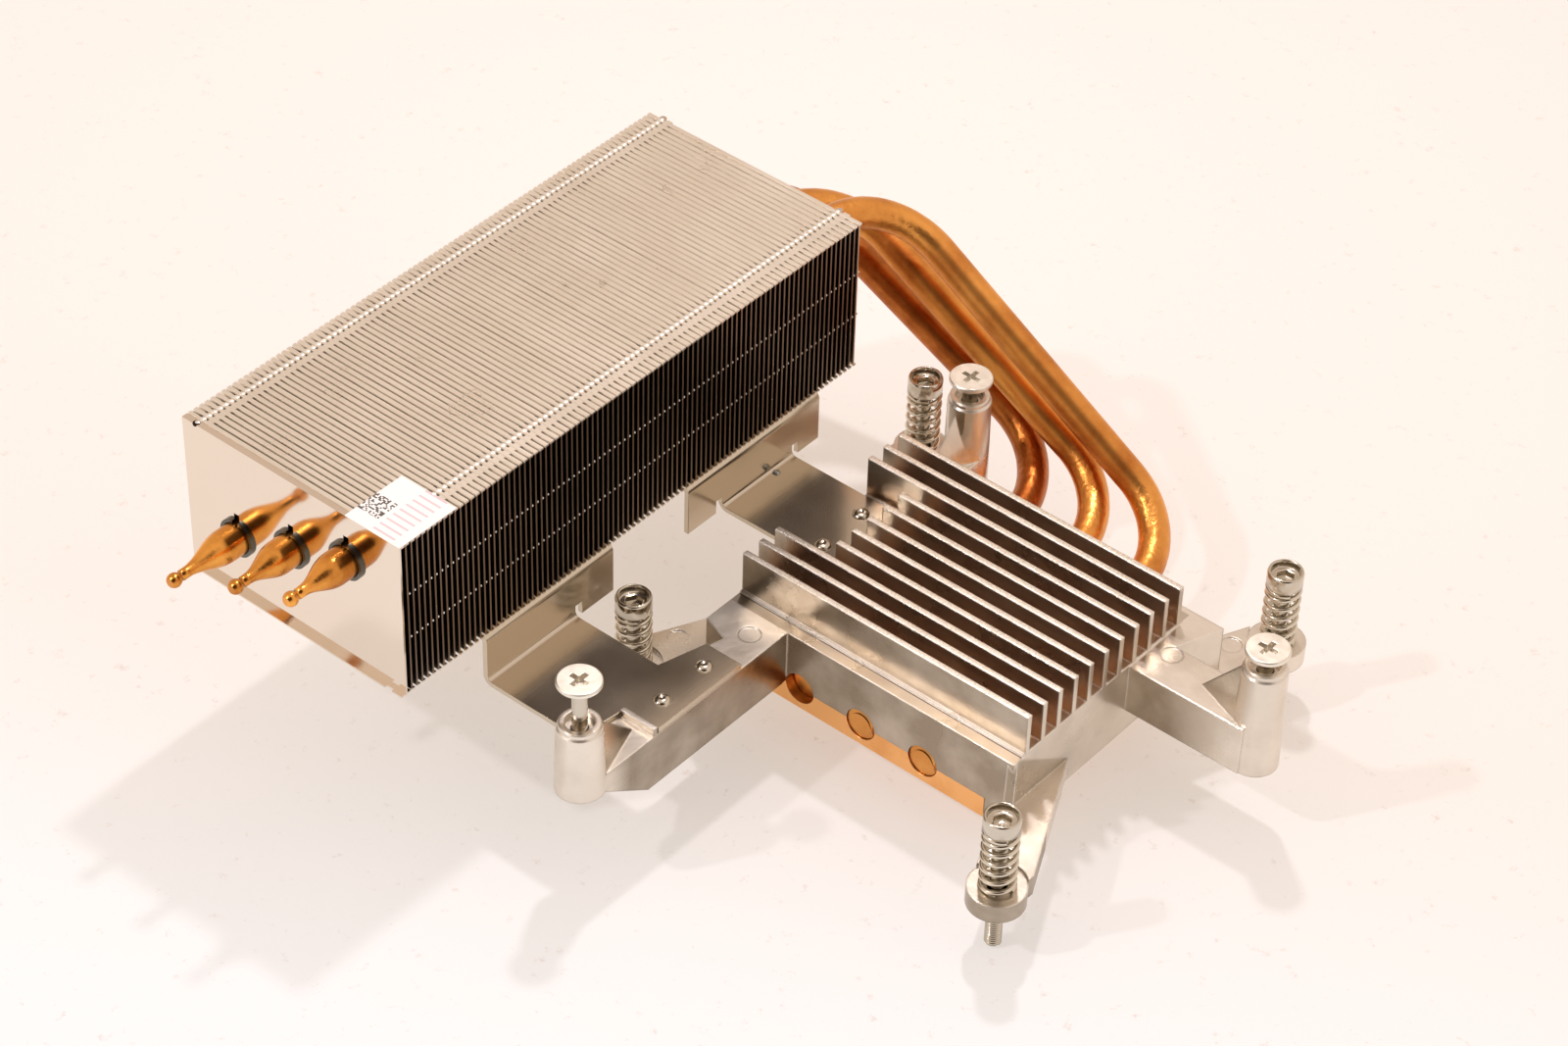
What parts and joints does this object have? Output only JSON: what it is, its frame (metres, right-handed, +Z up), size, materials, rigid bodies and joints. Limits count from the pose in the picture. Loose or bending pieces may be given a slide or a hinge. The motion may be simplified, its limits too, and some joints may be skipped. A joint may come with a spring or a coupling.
{
  "type": "processor heatsink",
  "caption": "Processor heatsink with a finned cast base, a copper contact plate and bent copper heat pipes to a remote stack of sheet fins; sprung mounting screws.",
  "frame": {"origin": "middle of the square of sprung mounting screws, on the copper contact face", "axes": "+Z points up from the contact face, away from the processor; +Y runs along the fin stack, towards the side where the heat pipes bend; the fin stack lies on the -X side of the base"},
  "size_m": [0.1564, 0.159, 0.0674],
  "materials": {
    "cast_metal": "as cast, satin",
    "copper": "bright drawn copper with brown heat tarnish",
    "fin_sheet": "bright rolled sheet",
    "bracket_sheet": "bright folded sheet",
    "screw_steel": "plated, satin",
    "spring_steel": "bright wire",
    "label_paper": "matt printed paper"
  },
  "bodies": {
    "heatsink": {"cast_base": "cast_metal", "contact_plate": "copper", "heat_pipe_left": "copper", "heat_pipe_middle": "copper", "heat_pipe_right": "copper", "fin_stack": "fin_sheet", "front_fin": "fin_sheet", "rear_bracket": "bracket_sheet", "front_bracket": "bracket_sheet", "bracket_rivets": "screw_steel", "paper_label": "label_paper", "screw_spring_rear_left": "spring_steel", "screw_spring_rear_right": "spring_steel", "screw_spring_front_right": "spring_steel", "screw_spring_front_left": "spring_steel"},
    "ring_rear_left": {"retaining_ring_rear_left": "screw_steel"},
    "screw_rear_left": {"sprung_screw_rear_left": "screw_steel"},
    "ring_rear_right": {"retaining_ring_rear_right": "screw_steel"},
    "screw_rear_right": {"sprung_screw_rear_right": "screw_steel"},
    "ring_front_right": {"retaining_ring_front_right": "screw_steel"},
    "screw_front_right": {"sprung_screw_front_right": "screw_steel"},
    "ring_front_left": {"retaining_ring_front_left": "screw_steel"},
    "screw_front_left": {"sprung_screw_front_left": "screw_steel"},
    "post_screw_front": {"captive_screw_front": "screw_steel"},
    "post_screw_rear": {"captive_screw_rear": "screw_steel"},
    "post_screw_right": {"captive_screw_right": "screw_steel"}
  },
  "joints": [
    {"name": "screw_press_rear_left", "type": "slide", "parent": "heatsink", "child": "ring_rear_left", "axis": [0, 0, -1], "range_m": [0, 0.0034], "stiffness_N_per_m": 1500, "springref_m": -0.001, "deforming": ["screw_spring_rear_left"]},
    {"name": "screw_turn_rear_left", "type": "hinge", "parent": "ring_rear_left", "child": "screw_rear_left", "pos_m": [-0.04, 0.04, 0.001], "axis": [0, 0, -1], "continuous": true},
    {"name": "screw_press_rear_right", "type": "slide", "parent": "heatsink", "child": "ring_rear_right", "axis": [0, 0, -1], "range_m": [0, 0.0034], "stiffness_N_per_m": 1500, "springref_m": -0.001, "deforming": ["screw_spring_rear_right"]},
    {"name": "screw_turn_rear_right", "type": "hinge", "parent": "ring_rear_right", "child": "screw_rear_right", "pos_m": [0.04, 0.04, 0.001], "axis": [0, 0, -1], "continuous": true},
    {"name": "screw_press_front_right", "type": "slide", "parent": "heatsink", "child": "ring_front_right", "axis": [0, 0, -1], "range_m": [0, 0.0034], "stiffness_N_per_m": 1500, "springref_m": -0.001, "deforming": ["screw_spring_front_right"]},
    {"name": "screw_turn_front_right", "type": "hinge", "parent": "ring_front_right", "child": "screw_front_right", "pos_m": [0.04, -0.04, 0.001], "axis": [0, 0, -1], "continuous": true},
    {"name": "screw_press_front_left", "type": "slide", "parent": "heatsink", "child": "ring_front_left", "axis": [0, 0, -1], "range_m": [0, 0.0034], "stiffness_N_per_m": 1500, "springref_m": -0.001, "deforming": ["screw_spring_front_left"]},
    {"name": "screw_turn_front_left", "type": "hinge", "parent": "ring_front_left", "child": "screw_front_left", "pos_m": [-0.04, -0.04, 0.001], "axis": [0, 0, -1], "continuous": true},
    {"name": "post_screw_drop_front", "type": "slide", "parent": "heatsink", "child": "post_screw_front", "axis": [0, 0, -1], "range_m": [0, 0.0076]},
    {"name": "post_screw_drop_rear", "type": "slide", "parent": "heatsink", "child": "post_screw_rear", "axis": [0, 0, -1], "range_m": [0, 0.0022]},
    {"name": "post_screw_drop_right", "type": "slide", "parent": "heatsink", "child": "post_screw_right", "axis": [0, 0, -1], "range_m": [0, 0.0018]}
  ]
}
